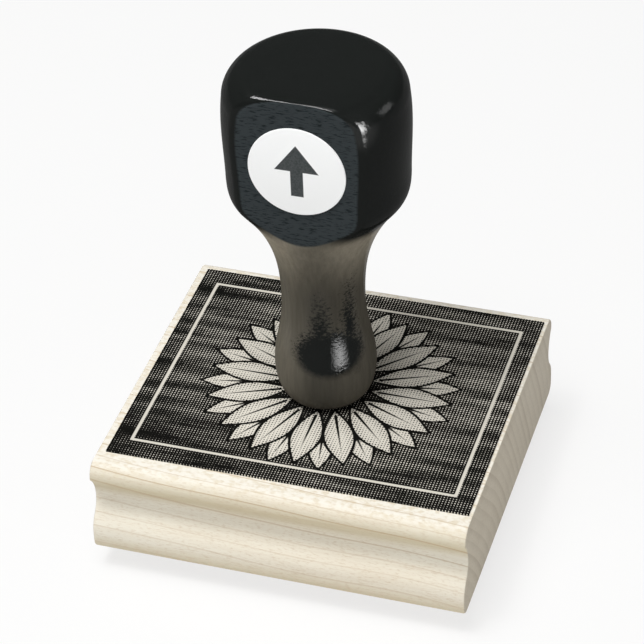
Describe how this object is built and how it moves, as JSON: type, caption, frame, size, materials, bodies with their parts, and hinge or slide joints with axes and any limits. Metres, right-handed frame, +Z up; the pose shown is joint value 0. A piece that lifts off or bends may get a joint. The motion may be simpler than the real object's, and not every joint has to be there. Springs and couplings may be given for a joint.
{
  "type": "rubber stamp",
  "caption": "Hand stamp: moulded maple block grooved front and back, printed sheet on top, black turned handle with a flat at the front, red rubber die on foam beneath.",
  "frame": {"origin": "centre of the printing face, on the surface that the stamp stands on", "axes": "+Z up along the handle, -Y towards the user and the handle's flat, +X to the user's right"},
  "size_m": [0.071, 0.0678, 0.0953],
  "materials": {
    "maple": "sanded, unlacquered",
    "black_lacquer": "gloss black lacquer on turned hardwood",
    "zinc_steel": "zinc plated",
    "printed_paper": "matt print",
    "white_vinyl": "satin",
    "grey_foam": "closed-cell foam with adhesive on both faces",
    "red_rubber": "matt, laser engraved"
  },
  "bodies": {
    "root": {"wood_block": "maple", "handle": "black_lacquer", "handle_screw": "zinc_steel", "index_label": "printed_paper", "front_mark": "white_vinyl", "mounting_foam": "grey_foam", "rubber_die": "red_rubber"}
  },
  "joints": []
}
